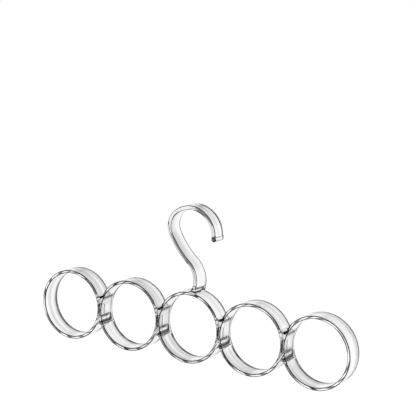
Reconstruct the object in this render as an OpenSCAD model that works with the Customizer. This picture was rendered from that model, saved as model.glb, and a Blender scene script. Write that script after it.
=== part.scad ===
// Scarf hanger in clear plastic: five round hoops in a straight row, tied to each other at
// their necks by slide-in link keys, below an S-shaped hook that is keyed into the middle hoop.
// The origin is the centre of the middle hoop. X runs along the row, Y through the hoops and Z up.

/* [Hoops] */
// Bore of each hoop, which a scarf is pulled through
hoop_bore_d = 75; // [60:1:90]
// Wall of each hoop
hoop_wall = 3.5; // [3:0.25:5]
// Depth of each hoop, from its front rim to its back rim
hoop_depth = 24; // [22:0.5:32]
// Rounding of the rims
rim_round = 0.8; // [0.4:0.1:1.2]

/* [Necks] */
// Plastic between the bores of two neighbouring hoops, where it is thinnest
neck_t = 5; // [4.6:0.1:6]
// Radius in the grooves above and below each neck
neck_fillet_r = 4; // [2:0.5:7]
// Gap at the seam between two hoops
seam_gap = 0.1; // [0.06:0.02:0.2]

/* [Link keys] */
// Thickness of the key's tongue, across the seam
tongue_t = 4; // [3.4:0.1:4.2]
// Height of the tongue at its two wide flanks
tongue_h = 10; // [8:0.5:11]
// Height of the tongue at its waist, on the seam
tongue_waist_h = 6.4; // [4:0.4:7]
// How far the tongue's middle lies below the middle of the hoops
tongue_drop = 10.4; // [9.5:0.1:12]
// Plastic left behind the blind end of the key's socket
socket_back_wall = 2; // [1.5:0.5:4]
// Thickness of the key's tab
tab_t = 2.2; // [1.8:0.1:2.4]
// How far the tab's top lies above the middle of the hoops
tab_rise = 7.6; // [5:0.2:9]
// Length of the tab, from the front rim back
tab_l = 8.4; // [6:0.2:12]
// Rounding of the tab's top corner at the back
tab_round = 3; // [1.5:0.5:4]
// Clearance all round a key, and all round the foot of the hook
key_fit = 0.1; // [0.06:0.02:0.16]

/* [Hook] */
// Thickness of the hook's band
band_t = 4.8; // [4:0.2:5.6]
// Width of the band over the rod
band_w = 19; // [16:0.5:21]
// How far the foot stands to the right of the middle hoop's centre
foot_shift = 4.7; // [3:0.1:6]
// Lean of the band to the right where it leaves the hoop, in degrees
foot_lean_angle = 23; // [18:1:28]
// Radius of the lower bend of the S, to the middle of the band
bend_r = 28.5; // [26:0.5:32]
// How far the lower bend turns, in degrees
bend_angle = 73; // [68:1:78]
// Radius of the long, slightly curved stem
stem_r = 105; // [90:5:140]
// How far the stem turns, in degrees
stem_angle = 20.5; // [16:0.5:24]
// Radius of the tight bend at the upper left
left_r = 20.5; // [18:0.5:24]
// How far the tight bend turns, in degrees
left_angle = 73; // [66:1:80]
// Radius of the bend over the rod
top_r = 30; // [27:0.5:33]
// How far the bend over the rod turns, down to the tip, in degrees
top_angle = 140; // [130:1:146]
// Diameter of the bead along the hook's tip
bead_d = 6.2; // [5.8:0.1:7]
// How far the bead stands proud of the band's edges
bead_proud = 0.2; // [0.1:0.1:0.5]
// Rounding of the bead's ends
bead_round = 1.4; // [0.8:0.1:1.6]
// Height above the middle of the hoops where the band starts to widen towards the foot
flare_rise = 76; // [70:1:84]
// Radius where the foot runs out on the hoop, on its left
foot_fillet_r = 8; // [6:0.5:9]
// Thickness of the foot at the toe of that radius
toe_t = 0.5; // [0.3:0.1:1]
// Width of the foot's dovetail where it leaves the hoop
dovetail_neck_w = 6.4; // [5.6:0.2:6.8]
// Width of the dovetail at its bottom
dovetail_w = 9; // [8:0.5:10]
// How far the dovetail lies to the left of the foot's middle, below the toe
dovetail_shift = 0.9; // [0.5:0.1:1.5]
// Plastic left between the dovetail's slot and the bore of the hoop
slot_floor = 1.1; // [0.8:0.1:1.4]

/* [Hidden] */
$fn = 96;
bore_r = hoop_bore_d / 2;
hoop_r = bore_r + hoop_wall;
pitch = hoop_bore_d + neck_t;
front = -hoop_depth / 2;
back = hoop_depth / 2;
seam_x = pitch / 2;
// The groove's fillet is centred on the seam, and sinks into both hoops by a hair, so that its
// surface crosses theirs instead of only touching it
sink = 0.05;
neck_over = 2;
fillet_z = sqrt(pow(hoop_r + neck_fillet_r - sink, 2) - pow(seam_x, 2));
seat_r = hoop_r + key_fit;
// The S is four bends in a row. Where two of them meet, their edges cross by a hair instead of
// only touching, so each centre lies a little closer to or farther from the one before.
bend_c = on_circle([foot_shift, hoop_r], -bend_r, -foot_lean_angle);
bend_end_angle = bend_angle - foot_lean_angle;
stem_c = on_circle(bend_c, bend_r + stem_r - sink, bend_end_angle);
stem_start_angle = bend_end_angle + 180;
left_start_angle = stem_start_angle - stem_angle;
left_c = on_circle(stem_c, stem_r - left_r + sink, left_start_angle);
top_start_angle = left_start_angle - left_angle;
top_c = on_circle(left_c, left_r - top_r - sink, top_start_angle);
tip_angle = top_start_angle - top_angle;
past_angle = 8;
past_stem_angle = 2;
into_stem_angle = 1.2;
spare = 5;
flare_steps = 6;
clear = [0.80, 0.86, 0.90, 0.45];
key_clear = [0.70, 0.80, 0.88, 0.55];

function on_circle(c, r, a) = c + r * [cos(a), sin(a)];
// Where two circles cross, on the side of the first axis that side gives
function crossing(c1, r1, c2, r2, side) =
    let (d = norm(c2 - c1), a = (r1 * r1 - r2 * r2 + d * d) / (2 * d),
         h = sqrt(r1 * r1 - a * a), u = (c2 - c1) / d)
    c1 + a * u + side * h * [-u[1], u[0]];

// Turns an outline drawn in X and Z into a solid that runs along Y
module along_y(l) {
    rotate([90, 0, 0]) linear_extrude(l, center = true) children();
}
// Turns a profile drawn as radius and depth into a solid round the Y axis
module round_y() {
    rotate([90, 0, 0]) rotate_extrude() children();
}

// Radius and depth of a cutter that leaves a rounded rim at both ends of a hole
module rim_cutter(r, l) {
    difference() {
        translate([0, -l / 2 - 1]) square([r + rim_round, l + 2]);
        translate([r, rim_round - l / 2]) square([2 * rim_round, l - 2 * rim_round]);
        for (s = [-1, 1])
            translate([r + rim_round, s * (l / 2 - rim_round)]) circle(rim_round);
    }
}

module hoop_disc() {
    round_y() {
        translate([0, front]) square([hoop_r - rim_round, hoop_depth]);
        translate([0, front + rim_round]) square([hoop_r, hoop_depth - 2 * rim_round]);
        for (s = [-1, 1])
            translate([hoop_r - rim_round, s * (back - rim_round)]) circle(rim_round);
    }
}

// Half of a neck, and a little past the seam: it fills the corner between this hoop and the next,
// down to the two grooves
module neck_half(side) {
    start = (bore_r - 2) / norm([seam_x, fillet_z]);
    stop = 1 + neck_over / seam_x;
    difference() {
        along_y(hoop_depth)
            polygon([[side * start * seam_x, -start * fillet_z],
                     [side * stop * seam_x, -stop * fillet_z],
                     [side * stop * seam_x, stop * fillet_z],
                     [side * start * seam_x, start * fillet_z]]);
        for (s = [-1, 1])
            translate([side * seam_x, 0, s * fillet_z])
                round_y() rim_cutter(neck_fillet_r, hoop_depth);
    }
}

// All that lies on the other side of a hoop's seam
module past_seam(side) {
    translate([side * (seam_x - seam_gap / 2 + hoop_r), 0, 0])
        cube([2 * hoop_r, 2 * hoop_depth, 2 * hoop_r], center = true);
}

// The key, and with a clearance g the socket that it slides into from the front. A V-shaped
// groove runs round the tongue's edge, along its top and bottom and round its blind end.
module key_shape(g = 0) {
    half = tongue_t / 2 + g;
    rise = tongue_h / 2 + g;
    waist = tongue_waist_h / 2 + g;
    end_y = back - socket_back_wall + g;
    mouth = front - (g > 0 ? 1 : 0);
    top = tab_rise + g;
    tab_end = front + tab_l + g;
    translate([0, (mouth + end_y - rise) / 2, -tongue_drop]) along_y(end_y - rise - mouth)
        polygon([[-half, -rise], [0, -waist], [half, -rise],
                 [half, rise], [0, waist], [-half, rise]]);
    for (s = [-1, 1])
        translate([0, end_y - rise, -tongue_drop]) rotate([0, s * 90, 0])
            cylinder(r1 = waist, r2 = rise, h = half);
    translate([-tab_t / 2 - g, mouth, -tongue_drop])
        cube([tab_t + 2 * g, tab_end - mouth, tongue_drop + top - tab_round]);
    translate([-tab_t / 2 - g, mouth, -tongue_drop])
        cube([tab_t + 2 * g, tab_end - tab_round - mouth, tongue_drop + top]);
    translate([0, tab_end - tab_round, top - tab_round]) rotate([0, 90, 0])
        cylinder(r = tab_round, h = tab_t + 2 * g, center = true);
}

// The foot's dovetail, and with a clearance g the slot in the middle hoop
module dovetail(g = 0) {
    bottom = bore_r + slot_floor + (g > 0 ? 0 : key_fit);
    mouth = front - (g > 0 ? 1 : 0);
    end_y = back - socket_back_wall + g;
    translate([foot_shift - dovetail_shift, (mouth + end_y) / 2, 0]) along_y(end_y - mouth)
        polygon([[-dovetail_w / 2 - g, bottom], [dovetail_w / 2 + g, bottom],
                 [dovetail_neck_w / 2 + g, hoop_r + 1], [-dovetail_neck_w / 2 - g, hoop_r + 1]]);
}

// One hoop: i counts from the middle one, and it has a neck on each side with a neighbour
module hoop(i) {
    color(clear) translate([i * pitch, 0, 0]) difference() {
        union() {
            hoop_disc();
            if (i > -2) neck_half(-1);
            if (i < 2) neck_half(1);
        }
        round_y() rim_cutter(bore_r, hoop_depth);
        for (s = [-1, 1]) if (abs(i + s) <= 2) {
            past_seam(s);
            translate([s * seam_x, 0, 0]) key_shape(key_fit);
        }
        if (i == 0) dovetail(key_fit);
    }
}

module link_key(j) {
    color(key_clear) translate([(j - 2.5) * pitch, 0, 0]) key_shape();
}

// A slice of a ring round c, from radius r0 to r1 and from angle a0 to a1
module slice(c, r0, r1, a0, a1) {
    mid_angle = (a0 + a1) / 2;
    intersection() {
        translate(c) difference() {
            circle(r1);
            circle(r0);
        }
        polygon([c, on_circle(c, 3 * r1, a0), on_circle(c, 3 * r1, mid_angle),
                 on_circle(c, 3 * r1, a1)]);
    }
}

// The S in X and Z, with the fillet and toe of the foot, down to its seat on the hoop: first
// each bend's outside with some spare inside, then what lies inside each bend is cut away
module s_outline() {
    half = band_t / 2;
    low_angle = -foot_lean_angle - past_angle;
    difference() {
        union() {
            slice(bend_c, bend_r - half - spare, bend_r + half,
                  low_angle, bend_end_angle + into_stem_angle);
            slice(stem_c, stem_r - half - spare, stem_r + half,
                  left_start_angle, stem_start_angle);
            slice(left_c, left_r - half - spare, left_r + half,
                  top_start_angle - past_angle, left_start_angle + past_angle);
            slice(top_c, top_r - half - spare, top_r + half, tip_angle, top_start_angle);
        }
        slice(bend_c, bend_r - half - 2 * spare, bend_r - half,
              low_angle - past_angle, bend_end_angle + past_angle);
        slice(stem_c, stem_r - half - 2 * spare, stem_r - half,
              left_start_angle, stem_start_angle + past_stem_angle);
        slice(left_c, left_r - half - 2 * spare, left_r - half,
              top_start_angle - past_angle, left_start_angle + past_angle);
        slice(top_c, top_r - half - 2 * spare, top_r - half,
              tip_angle - past_angle, top_start_angle);
        circle(seat_r);
    }
    difference() {
        foot_toe();
        circle(seat_r);
    }
}

// The corner between the lower bend and the hoop, filled to a radius and cut off at the toe
module foot_toe() {
    inner_r = bend_r - band_t / 2;
    c = crossing([0, 0], seat_r + foot_fillet_r, bend_c, inner_r - foot_fillet_r, -1);
    touch = c + foot_fillet_r * (c - bend_c) / norm(c - bend_c);
    run_out = sqrt(2 * toe_t / (1 / foot_fillet_r + 1 / seat_r));
    toe_x = c[0] * seat_r / norm(c) + run_out;
    toe_z = c[1] - sqrt(pow(foot_fillet_r, 2) - pow(toe_x - c[0], 2));
    difference() {
        polygon([touch, [toe_x, toe_z], [toe_x, bore_r], [foot_shift, bore_r],
                 [foot_shift, touch[1]]]);
        translate(c) circle(foot_fillet_r);
    }
}

// Radius and width of the bead along the tip, a little prouder than the band on every side
module bead_profile() {
    half = band_w / 2 + bead_proud;
    translate([0, -half]) square([bead_d / 2 - bead_round, 2 * half]);
    translate([0, bead_round - half]) square([bead_d / 2, 2 * (half - bead_round)]);
    for (s = [-1, 1]) intersection() {
        translate([bead_d / 2 - bead_round, s * (half - bead_round)]) circle(bead_round);
        translate([0, -half]) square([bead_d, 2 * half]);
    }
}

// Y and Z of the band's two edges: parallel over the rod, then curving out to the full depth
module width_outline() {
    flare = (hoop_depth - band_w) / 2;
    drop = flare_rise - hoop_r;
    edge = [for (i = [0 : flare_steps]) let (t = i / flare_steps)
            [band_w / 2 + flare * t * t, flare_rise - drop * t]];
    outline = concat([[band_w / 2, top_c[1] + 2 * top_r]], edge, [[back, bore_r]]);
    polygon(concat(outline, [for (i = [len(outline) - 1 : -1 : 0])
                             [-outline[i][0], outline[i][1]]]));
}

module hook() {
    tip = on_circle(top_c, top_r, tip_angle);
    color(clear) {
        intersection() {
            along_y(hoop_depth) s_outline();
            rotate([90, 0, 90]) linear_extrude(4 * top_r, center = true) width_outline();
        }
        translate([tip[0], 0, tip[1]]) round_y() bead_profile();
        dovetail();
    }
}

hoop(-2);  // left_end_hoop
hoop(-1);  // left_hoop
hoop(0);  // middle_hoop
hoop(1);  // right_hoop
hoop(2);  // right_end_hoop
link_key(1);  // link_key_1
link_key(2);  // link_key_2
link_key(3);  // link_key_3
link_key(4);  // link_key_4
hook();
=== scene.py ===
# Scarf hanger in clear plastic: five hoops, the keys that link them and an S-shaped hook, in a
# white studio, seen as in the photograph. Shapes are worked out in millimetres.
import bpy
import bmesh
import math
from mathutils import Matrix


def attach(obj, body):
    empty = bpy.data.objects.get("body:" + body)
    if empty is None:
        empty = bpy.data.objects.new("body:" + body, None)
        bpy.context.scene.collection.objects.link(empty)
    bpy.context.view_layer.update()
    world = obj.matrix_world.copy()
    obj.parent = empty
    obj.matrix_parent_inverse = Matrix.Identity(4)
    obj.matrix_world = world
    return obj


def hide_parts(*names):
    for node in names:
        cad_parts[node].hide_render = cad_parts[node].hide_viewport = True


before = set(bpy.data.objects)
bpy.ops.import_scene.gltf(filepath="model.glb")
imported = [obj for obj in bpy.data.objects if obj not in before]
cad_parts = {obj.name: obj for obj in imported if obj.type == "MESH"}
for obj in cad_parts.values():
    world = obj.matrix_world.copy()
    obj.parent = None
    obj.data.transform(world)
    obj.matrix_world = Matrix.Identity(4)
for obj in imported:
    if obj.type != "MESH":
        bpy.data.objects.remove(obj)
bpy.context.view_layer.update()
scene = bpy.context.scene
print("frame loaded:", len(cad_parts), "nodes")


class Wire:
    # A socket in a node tree, which adds up and multiplies as a number does
    def __init__(self, tree, socket=None):
        self.tree, self.socket = tree, socket

    # Adds any node: its settings come first, then the values or wires of its sockets
    def node(self, kind, settings=None, values=None, output=0):
        made = self.tree.nodes.new("ShaderNode" + kind)
        for name, value in (settings or {}).items():
            if name == "stops":
                while len(made.color_ramp.elements) < len(value):
                    made.color_ramp.elements.new(0.5)
                for element, (place, grey) in zip(made.color_ramp.elements, value):
                    element.position, element.color = place, (grey, grey, grey, 1)
            else:
                setattr(made, name, value)
        for name, value in (values or {}).items():
            if isinstance(value, Wire):
                self.tree.links.new(value.socket, made.inputs[name])
            else:
                made.inputs[name].default_value = value
        return Wire(self.tree, made.outputs[output])

    def math(self, operation, first, second):
        return self.node("Math", {"operation": operation}, {0: first, 1: second})

    def __add__(self, other):
        return self.math("ADD", self, other)

    def __radd__(self, other):
        return self.math("ADD", other, self)

    def __mul__(self, other):
        return self.math("MULTIPLY", self, other)

    def __rmul__(self, other):
        return self.math("MULTIPLY", other, self)


cameraView = {
    "place": (0.82090, -1.37489, 0.44653),
    "right": (0.85791, 0.51235, 0.03867),
    "up": (-0.13046, 0.14441, 0.98088),
    "back": (0.49697, -0.84655, 0.19073),
    "focal": 1473.25,  # in pixels of the picture, which is 416 wide
    "pictureWidth": 416,
    "sensor": 36.0,
    "clip": (0.05, 50.0),
}


def addCamera(values):
    data = bpy.data.cameras.new("camera")
    data.sensor_width = values["sensor"]
    data.lens = values["focal"] / values["pictureWidth"] * values["sensor"]
    data.clip_start, data.clip_end = values["clip"]
    camera = bpy.data.objects.new("camera", data)
    turn = Matrix((values["right"], values["up"], values["back"])).transposed()
    camera.matrix_world = Matrix.Translation(values["place"]) @ turn.to_4x4()
    scene.collection.objects.link(camera)
    scene.camera = camera


addCamera(cameraView)
print("camera set")

clearLook = {
    "ior": 1.49,
    "smooth": 0.0,
    "hazy": 0.05,  # the most roughness that the cloudy pattern adds
    "cloudScale": 60.0,
    "streaks": (7.0, 210.0, 7.0),  # how fast they change along, across and up, per metre
    "streakStops": ((0.40, 0.66), (0.56, 1.0)),
    "ripple": 0.06,
    "rippleHeight": 0.001,
}
# The faces where two pieces are pressed together let light through and show a faint blot
contactLook = {
    "tintAndShade": (0.30, 0.31, 0.33),
    "roughness": 0.4,
    "alphaStops": ((0.4, 0.0), (0.7, 0.04)),
}
# Dark tints for the corner strips, from light to dark: painted shade for the dark lines that clear
# plastic shows at its rounded corners
softEdgeLook = {
    "tintAndShade": (0.12, 0.12, 0.13),
    "roughness": 0.35,
    "alphaStops": ((0.3, 0.45), (0.7, 0.75)),
}
fineEdgeLook = {
    "tintAndShade": (0.04, 0.04, 0.045),
    "roughness": 0.3,
    "alphaStops": ((0.3, 0.75), (0.65, 1.0)),
}
boldEdgeLook = {
    "tintAndShade": (0.004, 0.004, 0.005),
    "roughness": 0.3,
    "alphaStops": ((0.3, 0.88), (0.6, 1.0)),
}
edgeCloud = {"scale": 90.0, "rough": 0.2}  # the pattern in the edges and contact faces


def newMaterial(name):
    material = bpy.data.materials.new(name)
    material.use_nodes = True
    return material, material.node_tree.nodes["Principled BSDF"]


# A soft pattern fixed to the piece, finer with a larger scale
def noise(wire, scale, stretch=(1.0, 1.0, 1.0)):
    where = Wire(wire.tree, wire.tree.nodes.new("ShaderNodeTexCoord").outputs["Object"])
    where = wire.node("VectorMath", {"operation": "MULTIPLY"}, {0: where, 1: stretch})
    return wire.node("TexNoise", None, {"Vector": where, "Scale": scale, "Detail": 2.0})


def clearPlastic(name, values):
    material, shader = newMaterial(name)
    tree = material.node_tree
    wire = Wire(tree)
    streaks = wire.node("ValToRGB", {"stops": values["streakStops"]},
                        {0: noise(wire, 1.0, values["streaks"])})
    cloud = noise(wire, values["cloudScale"])
    bump = wire.node("Bump", None, {"Strength": values["ripple"],
                                    "Distance": values["rippleHeight"], "Height": cloud})
    haze = values["smooth"] + values["hazy"] * cloud
    for socket, made in (("Base Color", streaks), ("Roughness", haze), ("Normal", bump)):
        tree.links.new(made.socket, shader.inputs[socket])
    shader.inputs["Transmission Weight"].default_value = 1.0
    shader.inputs["IOR"].default_value = values["ior"]
    return material


# The rounded corners of clear plastic bend light away, so they show as dark lines; this paints
# those lines as painted shade, a dark tint on the corner strips. The faint tint on contact faces is
# made here too.
def edgePlastic(name, values):
    material, shader = newMaterial(name)
    tree = material.node_tree
    wire = Wire(tree)
    cloud = noise(wire, edgeCloud["scale"])
    alpha = wire.node("ValToRGB", {"stops": values["alphaStops"]}, {0: cloud})
    rough = values["roughness"] + edgeCloud["rough"] * cloud
    tree.links.new(alpha.socket, shader.inputs["Alpha"])
    tree.links.new(rough.socket, shader.inputs["Roughness"])
    shader.inputs["Base Color"].default_value = (*values["tintAndShade"], 1)
    shader.inputs["Specular IOR Level"].default_value = 0.0
    return material


# The three edge materials paint dark shade on corner strips; contact is a faint tint on pressed
# faces
plastics = [clearPlastic("clearPlastic", clearLook), edgePlastic("contact", contactLook),
            edgePlastic("softEdgeShade", softEdgeLook), edgePlastic("fineEdgeShade", fineEdgeLook),
            edgePlastic("boldEdgeShade", boldEdgeLook)]
clear, contact, soft, fine, bold = range(5)  # the material of a face
print("materials set")


# Joins rings of points into a skin; strips gives the material of each strip between two points,
# for all rings or for each of them
def loft(rings, strips, closed=False, cap=clear):
    count, size = len(rings), len(rings[0])
    points = [point for ring in rings for point in ring]
    faces, looks = [], []
    for k in range(count if closed else count - 1):
        a, b = k * size, (k + 1) % count * size
        for m in range(size):
            n = (m + 1) % size
            faces.append((a + m, a + n, b + n, b + m))
            looks.append(strips[k][m] if isinstance(strips[0], list) else strips[m])
    if not closed:
        for start in (0, (count - 1) * size):  # the two ends, filled across from front to back
            for m in range(size // 2 - 1):
                faces.append((start + m, start + m + 1, start + size - 2 - m, start + size - 1 - m))
                looks.append(cap)
    return points, faces, looks


def meshObject(name, shape):
    points, faces, looks = shape
    mesh = bpy.data.meshes.new(name)
    mesh.from_pydata([(x / 1000, y / 1000, z / 1000) for x, y, z in points], [], faces)
    mesh.polygons.foreach_set("material_index", looks)
    for plastic in plastics:
        mesh.materials.append(plastic)
    work = bmesh.new()
    work.from_mesh(mesh)
    bmesh.ops.recalc_face_normals(work, faces=work.faces)
    work.to_mesh(mesh)
    work.free()
    made = bpy.data.objects.new(name, mesh)
    scene.collection.objects.link(made)
    return made


shading = {"sharp": 34.0, "weight": 90}


# Joins and cuts other shapes, then shades the piece smoothly except at its sharp corners
def finishPiece(made, cuts=(), joins=()):
    helpers = []
    for operation, shapes in (("UNION", joins), ("DIFFERENCE", cuts)):
        for shape in shapes:
            helper = meshObject("helper", shape)
            change = made.modifiers.new("change", "BOOLEAN")
            change.object, change.operation, change.solver = helper, operation, "MANIFOLD"
            helpers.append(helper)
    applyChanges(made)
    for helper in helpers:
        bpy.data.objects.remove(helper)
    made.data.shade_smooth()
    made.data.set_sharp_from_angle(angle=math.radians(shading["sharp"]))
    weigh = made.modifiers.new("weigh", "WEIGHTED_NORMAL")
    weigh.keep_sharp, weigh.weight = True, shading["weight"]
    applyChanges(made)


# Turns what the modifiers make into the piece's own mesh
def applyChanges(made):
    if made.modifiers:
        bpy.context.view_layer.update()
        ready = made.evaluated_get(bpy.context.evaluated_depsgraph_get())
        mesh = bpy.data.meshes.new_from_object(ready)
        made.modifiers.clear()
        old, made.data = made.data, mesh
        bpy.data.meshes.remove(old)


def onCircle(centre, radius, angle):
    turn = math.radians(angle)
    return (centre[0] + radius * math.cos(turn), centre[1] + radius * math.sin(turn))


def spread(first, last, count):
    return [first + (last - first) * i / (count - 1) for i in range(count)]


hoopRow = {
    "names": ("left_end_hoop", "left_hoop", "middle_hoop", "right_hoop", "right_end_hoop"),
    "pitch": 80.0,
    "bore": 37.5,
    "outer": 41.0,
    "half": 12.0,
    # The rims are the rounded corners; their strips carry painted dark shade, the dark lines clear
    # plastic shows there
    "rims": (0.95, 0.85, 0.6, 0.9),  # front outer, front inner, back inner, back outer
    "rimDepths": (0.95, 0.85, 1.4, 2.6),
    "rimLooks": (fine, bold, fine, fine),
    "rimSteps": 5,
    "wedge": 2.8,  # painted dark shade on the rim, which gets wider into the groove on the left of a hoop
    "wedgeTurn": 15.0,
    "wedgeFade": 0.7,
    "fillet": 4.0,
    "seamGap": 0.1,
    "corner": 0.6,
    "openPoints": 61,  # points in a quarter without a neck, then in each part of one with a neck
    "seamPoints": 12,
    "cornerPoints": 6,
    "filletPoints": 14,
    "ringPoints": 43,
    "neckStart": 0.05,  # past the outer radius by this much, a point belongs to a neck
}


# One quarter of a hoop's outline from the right to the top: point, outward normal, width of the
# front rim and the materials of that rim and of the wall
def hoopQuarter(values, neck, wide):
    outer, fillet, corner = values["outer"], values["fillet"], values["corner"]
    rim, look = values["rims"][0], values["rimLooks"][0]
    # A rim wider than the front rim is the wedge of painted dark shade in the groove
    dark = wide > rim
    if not neck:
        return [(onCircle((0, 0), outer, a), onCircle((0, 0), 1, a), rim, look, clear)
                for a in spread(0, 90, values["openPoints"])]
    seam = values["pitch"] / 2 - values["seamGap"] / 2
    groove = (values["pitch"] / 2, math.sqrt((outer + fillet) ** 2 - (values["pitch"] / 2) ** 2))
    inset = seam - corner - groove[0]
    drop = math.sqrt((fillet + corner) ** 2 - inset ** 2)
    bend = (seam - corner, groove[1] - drop)
    meet = math.degrees(math.atan2(drop, -inset))
    touch = math.degrees(math.atan2(groove[1], groove[0]))
    quarter = [((seam, z), (1.0, 0.0), rim, clear, contact)
               for z in spread(0, bend[1], values["seamPoints"])[:-1]]
    quarter += [(onCircle(bend, corner, a), onCircle((0, 0), 1, a),
                 rim + (wide - rim) * a / meet,
                 bold if dark else soft, bold if dark else clear)
                for a in spread(0, meet, values["cornerPoints"])[:-1]]
    quarter += [(onCircle(groove, fillet, a), onCircle((0, 0), -1, a), wide,
                 bold if dark else soft, clear)
                for a in spread(meet + 180, touch + 180, values["filletPoints"])[:-1]]
    for a in spread(touch, 90, values["ringPoints"]):
        fade = max(0.0, 1 - (a - touch) / values["wedgeTurn"]) ** values["wedgeFade"]
        quarter.append((onCircle((0, 0), outer, a), onCircle((0, 0), 1, a),
                        rim + (wide - rim) * fade, bold if fade and dark else look, clear))
    return quarter


def mirrored(quarter, sx, sz):
    return [((x * sx, z * sz), (nx * sx, nz * sz), *rest) for (x, z), (nx, nz), *rest in quarter]


# A hoop: a ring of points across the wall at each point of its outline
def hoopShape(values, centre, leftNeck, rightNeck):
    rims, depths, looks, steps = (values[name] for name in
                                  ("rims", "rimDepths", "rimLooks", "rimSteps"))
    right = hoopQuarter(values, rightNeck, rims[0])
    left = hoopQuarter(values, leftNeck, rims[0])
    wedge = hoopQuarter(values, leftNeck, values["wedge"])
    outline = (right[:-1] + mirrored(wedge, -1, 1)[::-1][:-1] + mirrored(left, -1, -1)[:-1]
               + mirrored(right, 1, -1)[::-1][:-1])
    turns = [math.radians(t) for t in spread(0, 90, steps + 1)]
    half, rings, strips = values["half"], [], []
    for (x, z), (nx, nz), rim, look, wall in outline:
        reach = math.hypot(x, z)
        ux, uz = x / reach, z / reach
        atNeck = wall != clear or reach > values["outer"] + values["neckStart"]
        ring = []
        for side, outerRim, innerRim, outerDepth, innerDepth in (
                (-1, rim, rims[1], max(rim, depths[0]), depths[1]),
                (1, rims[3], rims[2], depths[2 if atNeck else 3], depths[2])):
            part = [(x - nx * outerRim * (1 - math.cos(t)),
                     side * (half - outerDepth * (1 - math.sin(t))),
                     z - nz * outerRim * (1 - math.cos(t))) for t in turns]
            for t in reversed(turns):
                r = values["bore"] + innerRim * (1 - math.cos(t))
                part.append((ux * r, side * (half - innerDepth * (1 - math.sin(t))), uz * r))
            ring += part if side < 0 else part[::-1]
        rings.append([(px + centre, py, pz) for px, py, pz in ring])
        # Strips round the corners get the painted dark shade materials; the rest is clear
        strips.append([look] * steps + [clear] + [looks[1]] * steps + [clear]
                      + [soft if wall == contact else looks[2]] * steps + [clear]
                      + ([clear] * steps if atNeck else [soft, *[looks[3]] * (steps - 2), soft])
                      + [wall])
    return loft(rings, strips, closed=True)


linkKeys = {
    "names": ("link_key_1", "link_key_2", "link_key_3", "link_key_4"),
    "thick": 4.0,
    "rise": 5.0,
    "waist": 3.2,
    "drop": 10.4,
    "end": 10.0,
    "tabThick": 2.2,
    "tabTop": 7.6,
    "tabEnd": -3.6,
    "tabRound": 3.0,
    "fit": 0.1,
    "front": -12.0,
    "tabFront": -11.99,  # just behind the tongue's front, so the two join cleanly
    "past": 1.0,  # how far a cutter stands out in front
    "endPoints": 24,
    "tabPoints": 7,
}


# The tongue is a flat D with a V-shaped groove round its edge; grow makes the socket's cutter
def tongueShape(values, centre, grow=0.0):
    half, rise = values["thick"] / 2 + grow, values["rise"] + grow
    waist = values["waist"] + grow
    mouth = values["front"] - (values["past"] if grow else 0)
    bend = values["end"] + grow - rise
    rings = []
    for x, r in ((-half, rise), (0, waist), (half / 2, (waist + rise) / 2), (half, rise)):
        ring = [(mouth, r), (bend / 2 + mouth / 2, r)]
        ring += [onCircle((bend, 0), r, a) for a in spread(90, -90, values["endPoints"])]
        ring += [(bend / 2 + mouth / 2, -r), (mouth, -r)]
        rings.append([(centre + x, y, z - values["drop"]) for y, z in ring])
    size = len(rings[0])
    dark = contact if grow else bold  # painted dark shade: a thin line along the top, and a wide one round the rest
    low = [contact] * (size // 3) + [dark] * (size - 1 - size // 3) + [contact]
    return loft(rings, [[contact] * size, low, [dark] * (size - 1) + [contact]], cap=contact)


# The thin tab on the tongue's front end, with one rounded corner
def tabShape(values, centre, grow=0.0):
    half = values["tabThick"] / 2 + grow
    mouth = values["tabFront"] - (values["past"] if grow else 0)
    top, end, turn = values["tabTop"] + grow, values["tabEnd"] + grow, values["tabRound"]
    side = [(mouth, -values["drop"]), (mouth, top)]
    side += [onCircle((end - turn, top - turn), turn, a)
             for a in spread(90, 0, values["tabPoints"])]
    side += [(end, -values["drop"])]
    count = len(side)
    points = [(centre + s * half, y, z) for s in (-1, 1) for y, z in side]
    faces = [tuple(range(count)), tuple(range(count, 2 * count))]
    faces += [(i, (i + 1) % count, (i + 1) % count + count, i + count) for i in range(count)]
    # The tab's faces carry fine painted dark shade lines; the cutter's faces are contact
    looks = [contact, contact, fine] + [contact if grow else fine] * (count - 2) + [contact]
    return points, faces, looks


hookBand = {
    "thick": 4.8,
    "half": 9.5,
    # Rounded corners of the band; their strips carry the painted dark shade set in cornerLooks
    "corners": (0.5, 0.85, 0.25, 0.2),  # front right, front left, back left, back right
    "cornerDepths": (0.6, 0.9, 0.3, 1.5),
    "cornerLooks": (bold, fine, clear, bold),
    "cornerSteps": 4,
    "columns": 5,
    "lowBend": ((-21.534, 52.136), 28.5, 50.0),  # centre, radius and the angle where it ends
    "stem": ((64.246, 154.364), 105.0, 230.0, 209.5),
    "leftBend": ((-9.343, 112.730), 20.5, 209.5, 136.5),
    "topBend": ((-2.416, 106.156), 30.0, 136.5, -3.5),
    "seat": 41.1,
    # width of the painted dark shade line round the foot's seat
    "seatLine": 2.2,
    "toeFillet": 8.0,
    "toeThick": 0.5,
    "flareTop": 76.0,
    "flareDrop": 35.0,
    "flare": 2.5,
    "streaks": ((64.0, 11.0, 1.6), (138.0, 16.0, 1.0)),  # where the painted dark edge gets wider: angle, spread and how much
    "stepLength": 1.6,
    "leastPoints": 8,
    "lowPoints": 26,
    "footSteps": 12,
    "footReach": 0.96,  # how much of the way to the seat the right side goes in those steps
    "footThin": 0.75,  # and how much of the corners' size is gone there
}


# Where two circles meet; side picks which of the two points
def crossing(c1, r1, c2, r2, side):
    dx, dz = c2[0] - c1[0], c2[1] - c1[1]
    d = math.hypot(dx, dz)
    a = (r1 * r1 - r2 * r2 + d * d) / (2 * d)
    h = math.sqrt(r1 * r1 - a * a) * side
    return (c1[0] + (a * dx - h * dz) / d, c1[1] + (a * dz + h * dx) / d)


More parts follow.
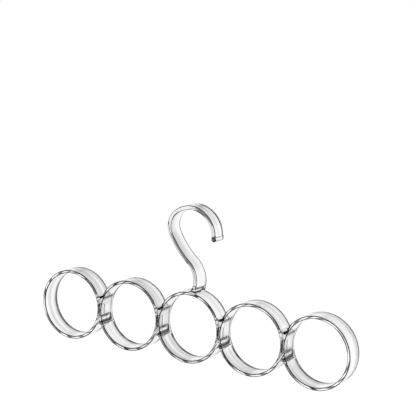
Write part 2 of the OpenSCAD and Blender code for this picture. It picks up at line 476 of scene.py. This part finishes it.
# The two sides of the band from the tip down to the foot: left point and normal, right point
# and normal, and how full the corners are
def bandSides(values):
    half = values["thick"] / 2
    sides = []
    for centre, radius, low, high in (values["topBend"], values["leftBend"], values["stem"]):
        length = abs(low - high) * radius * math.pi / 180
        count = max(values["leastPoints"], round(length / values["stepLength"]))
        for a in spread(high, low, count)[:-1]:
            n = onCircle((0, 0), 1, a)
            # swell widens the front right corner and its painted dark shade strip near these angles
            swell = 1 + sum(more * math.exp(-((a - at) / wide) ** 2)
                            for at, wide, more in values["streaks"])
            sides.append((onCircle(centre, radius + half, a), n,
                          onCircle(centre, radius - half, a), (-n[0], -n[1]), 1.0, swell))
    centre, radius, high = values["lowBend"]
    inner, outer, seat = radius - half, radius + half, values["seat"]
    fillet = crossing((0, 0), seat + values["toeFillet"], centre, inner - values["toeFillet"], -1)
    touchTurn = math.degrees(math.atan2(fillet[1] - centre[1], fillet[0] - centre[0]))
    for a in spread(high, touchTurn, values["lowPoints"]):
        n = onCircle((0, 0), 1, a)
        sides.append((onCircle(centre, inner, a), (-n[0], -n[1]),
                      onCircle(centre, outer, a), n, 1.0, 1.0))
    end = crossing((0, 0), seat, centre, outer, -1)
    endTurn = math.degrees(math.atan2(end[1] - centre[1], end[0] - centre[0]))
    runOut = math.sqrt(2 * values["toeThick"] / (1 / values["toeFillet"] + 1 / seat))
    toeX = fillet[0] * seat / math.hypot(*fillet) + runOut
    toeTurn = math.degrees(math.asin((toeX - fillet[0]) / values["toeFillet"])) - 90
    for i in range(values["footSteps"]):
        s = (i + 1) / values["footSteps"]
        left = touchTurn + (toeTurn - touchTurn) * s
        n = onCircle((0, 0), -1, left)
        right = touchTurn + (endTurn - touchTurn) * (s * values["footReach"])
        sides.append((onCircle(fillet, values["toeFillet"], left), n,
                      onCircle(centre, outer, right), onCircle((0, 0), 1, right),
                      1 - values["footThin"] * s, 1.0))
    last = sides[-1]
    sides.append(((toeX, math.sqrt(seat ** 2 - toeX ** 2)), last[1], end, *last[3:]))
    return sides


# Half of the band's width, which grows towards the foot
def bandHalf(values, z):
    t = min(1.0, max(0.0, (values["flareTop"] - z) / values["flareDrop"]))
    return values["half"] + values["flare"] * t * t


# The band from the tip to the foot, with four rounded corners
def hookShape(values):
    steps, columns = values["cornerSteps"], values["columns"]
    turns = [math.radians(t) for t in spread(0, 90, steps + 1)]
    corners, depths, cornerLooks = (values[name] for name in
                                    ("corners", "cornerDepths", "cornerLooks"))
    rings = []
    sides = bandSides(values)
    for k, (left, leftN, right, rightN, full, swell) in enumerate(sides):
        half = bandHalf(values, (left[1] + right[1]) / 2)
        ring = []
        for side, first, last, deep, low in ((-1, corners[0] * swell, corners[1], *depths[:2]),
                                             (1, *corners[:1:-1], *depths[:1:-1])):
            part = [(right[0] - rightN[0] * first * full * (1 - math.cos(t)),
                     side * (half - deep * full * (1 - math.sin(t))),
                     right[1] - rightN[1] * first * full * (1 - math.cos(t))) for t in turns]
            other = [(left[0] - leftN[0] * last * full * (1 - math.cos(t)),
                      side * (half - low * full * (1 - math.sin(t))),
                      left[1] - leftN[1] * last * full * (1 - math.cos(t)))
                     for t in reversed(turns)]
            a, b = part[-1], other[0]
            part += [tuple(a[i] + (b[i] - a[i]) * j / columns for i in range(3))
                     for j in range(1, columns)] + other
            ring += part if side < 0 else part[::-1]
        if k == len(sides) - 1:  # the last ring lies on the hoop
            ring = [(x, y, math.sqrt(values["seat"] ** 2 - x * x)) for x, y, z in ring]
        rings.append(ring)
    # The corner strips get the painted dark shade materials, and the two ends a fine painted line
    strips = ([cornerLooks[0]] * steps + [clear] * columns + [cornerLooks[1]] * steps + [clear]
              + [cornerLooks[2]] * steps + [clear] * (columns + 1)
              + [cornerLooks[3]] * (steps - 1) + [clear])
    points, faces, looks = loft(rings, strips, cap=fine)
    dark = values["seat"] + values["seatLine"]
    for k, face in enumerate(faces[:-2 * len(strips)]):  # painted dark shade: a line round the foot's seat, where it meets the hoop
        if max(math.hypot(points[i][0], points[i][2]) for i in face) < dark:
            looks[k] = bold
    return points, faces, looks


bead = {
    "radius": 3.1,
    "half": 9.9,
    "round": 2.4,
    "roundStart": 3,  # the angle where the rounding of an end starts
    "roundPoints": 8,
    "columns": 40,
    "darkRings": 3,  # rings of painted dark shade at the front end, and one more past this angle
    "darkTurn": 150,
    "fineRings": 4,  # rings of fine painted dark line at the back end
}


# The round bead on the tip: its ends curve in like a pill's, with painted dark shade at the front
# and a fine painted line at the back
def beadShape(values, band):
    centre, radius, low, high = band["topBend"]
    tip = onCircle(centre, radius, high)
    r, half, corner = values["radius"], values["half"], values["round"]
    profile = [(r - corner + corner * math.sin(math.radians(t)),
                -half + corner - corner * math.cos(math.radians(t)))
               for t in spread(values["roundStart"], 90, values["roundPoints"])]
    profile += [(p, -y) for p, y in reversed(profile)]
    size, count = len(profile), values["columns"]
    points = []
    for a in spread(0, 360, count + 1)[:-1]:
        turn = onCircle((0, 0), 1, a)
        points += [(tip[0] + p * turn[0], y, tip[1] + p * turn[1]) for p, y in profile]
    faces, looks = [], []
    darkRings, fineRings = values["darkRings"], values["fineRings"]
    for k in range(count):
        a, b = k * size, (k + 1) % count * size
        more = 360 * k / count > values["darkTurn"]
        for m in range(size - 1):
            faces.append((a + m, a + m + 1, b + m + 1, b + m))
            dark = 1 <= m <= darkRings + (1 if more else 0)
            looks.append(bold if dark else fine if m >= size - 1 - fineRings else clear)
    for end in (0, size - 1):
        faces.append(tuple(k * size + end for k in range(count)))
    return points, faces, looks + [clear, clear]


dovetail = {
    "middle": 3.8,
    "neck": 3.2,
    "wide": 4.5,
    "bottom": 38.7,
    "top": 42.0,
    "front": -11.99,
    "end": 10.0,
    "fit": 0.1,
    "past": 1.0,
}


# The foot's dovetail, or with grow the slot's cutter
def dovetailShape(values, grow=0.0):
    front = values["front"] - (values["past"] if grow else 0)
    back, bottom = values["end"] + grow, values["bottom"] - grow
    neck, wide, x = values["neck"] + grow, values["wide"] + grow, values["middle"]
    side = [(x - wide, bottom), (x + wide, bottom), (x + neck, values["top"]),
            (x - neck, values["top"])]
    points = [(px, y, pz) for y in (front, back) for px, pz in side]
    faces = [(0, 1, 2, 3), (4, 5, 6, 7)]
    faces += [(i, (i + 1) % 4, (i + 1) % 4 + 4, i + 4) for i in range(4)]
    return points, faces, [contact] * len(faces)


def addPiece(name, node, shape, cuts=(), joins=()):
    made = meshObject(name, shape)
    finishPiece(made, cuts, joins)
    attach(made, "root")
    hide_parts(node)


last = len(hoopRow["names"]) - 1
for index, node in enumerate(hoopRow["names"]):
    place = (index - last / 2) * hoopRow["pitch"]
    cuts = []
    for side in (-1, 1):
        if 0 <= index + side <= last:
            seam = place + side * hoopRow["pitch"] / 2
            cuts.append(tongueShape(linkKeys, seam, linkKeys["fit"]))
            cuts.append(tabShape(linkKeys, seam, linkKeys["fit"]))
    if node == "middle_hoop":
        cuts.append(dovetailShape(dovetail, dovetail["fit"]))
    addPiece("clear_" + node, node, hoopShape(hoopRow, place, index > 0, index < last), cuts)
print("hoops made")

for index, node in enumerate(linkKeys["names"]):
    seam = (index + 0.5 - last / 2) * hoopRow["pitch"]  # half a pitch past the hoop on its left
    addPiece("clear_" + node, node, tongueShape(linkKeys, seam),
             joins=[tabShape(linkKeys, seam)])
print("link keys made")

addPiece("clear_hook", "hook", hookShape(hookBand),
         joins=[beadShape(bead, hookBand), dovetailShape(dovetail)])
print("hook made")

studio = {
    "floor": -0.35,
    "reach": 4.0,
    "paint": 0.85,
    "matte": 0.9,
    "glow": 1.4,
    "shadow": 0.5,  # how much of the floor's brightness comes from the light that falls on it
    "daylight": 0.8,
    "skyStops": ((0.0, 1.0), (0.60, 1.0), (0.68, 0.2), (0.8, 0.2), (0.9, 0.9), (1.0, 0.9)),
    "bounces": 40,  # enough for light to get through all the walls
}


# The rays straight from the camera, and all that show what lies behind, clear plastic included
def seenRays(wire):
    path = wire.tree.nodes.new("ShaderNodeLightPath")
    camera, glossy, through = (Wire(wire.tree, path.outputs[name]) for name in
                               ("Is Camera Ray", "Is Glossy Ray", "Is Transmission Ray"))
    return camera, wire.math("MAXIMUM", camera, wire.math("MAXIMUM", glossy, through))


def addFloor(values):
    s, z = values["reach"], values["floor"]
    mesh = bpy.data.meshes.new("floor")
    mesh.from_pydata([(-s, -s, z), (s, -s, z), (s, s, z), (-s, s, z)], [], [(0, 1, 2, 3)])
    floor = bpy.data.objects.new("floor", mesh)
    scene.collection.objects.link(floor)
    material, shader = newMaterial("floorPaint")
    tree = material.node_tree
    shader.inputs["Base Color"].default_value = (values["paint"],) * 3 + (1,)
    shader.inputs["Roughness"].default_value = values["matte"]
    wire = Wire(tree)
    seen = seenRays(wire)[1]
    glow = wire.node("Emission", None, {"Color": (1, 1, 1, 1), "Strength": values["glow"]})
    lit = Wire(tree, shader.outputs[0])
    shadowed = wire.node("MixShader", None, {0: values["shadow"], 1: glow, 2: lit})
    mix = wire.node("MixShader", None, {0: seen, 1: lit, 2: shadowed})
    tree.links.new(mix.socket, tree.nodes["Material Output"].inputs["Surface"])
    mesh.materials.append(material)


def addSky(values):
    world = bpy.data.worlds.new("studio")
    scene.world = world
    world.use_nodes = True
    tree = world.node_tree
    wire = Wire(tree)
    camera, seen = seenRays(wire)
    where = tree.nodes.new("ShaderNodeTexCoord")
    height = wire.node("SeparateXYZ", None, {0: Wire(tree, where.outputs["Generated"])}, 2)
    ramp = wire.node("ValToRGB", {"stops": values["skyStops"]}, {0: height * 0.5 + 0.5})
    lamp = wire.node("Background", None, {"Color": (1, 1, 1, 1), "Strength": values["daylight"]})
    band = wire.node("Background", None, {"Color": ramp, "Strength": 1.0})
    white = wire.node("Background", None, {"Color": (1, 1, 1, 1), "Strength": 1.0})
    lit = wire.node("MixShader", None, {0: seen, 1: lamp, 2: band})
    mix = wire.node("MixShader", None, {0: camera, 1: lit, 2: white})
    tree.links.new(mix.socket, tree.nodes["World Output"].inputs["Surface"])


addFloor(studio)
addSky(studio)
print("studio set")

scene.view_settings.view_transform = "Standard"
scene.cycles.max_bounces = scene.cycles.transmission_bounces = studio["bounces"]
scene.cycles.glossy_bounces = scene.cycles.transparent_max_bounces = studio["bounces"]
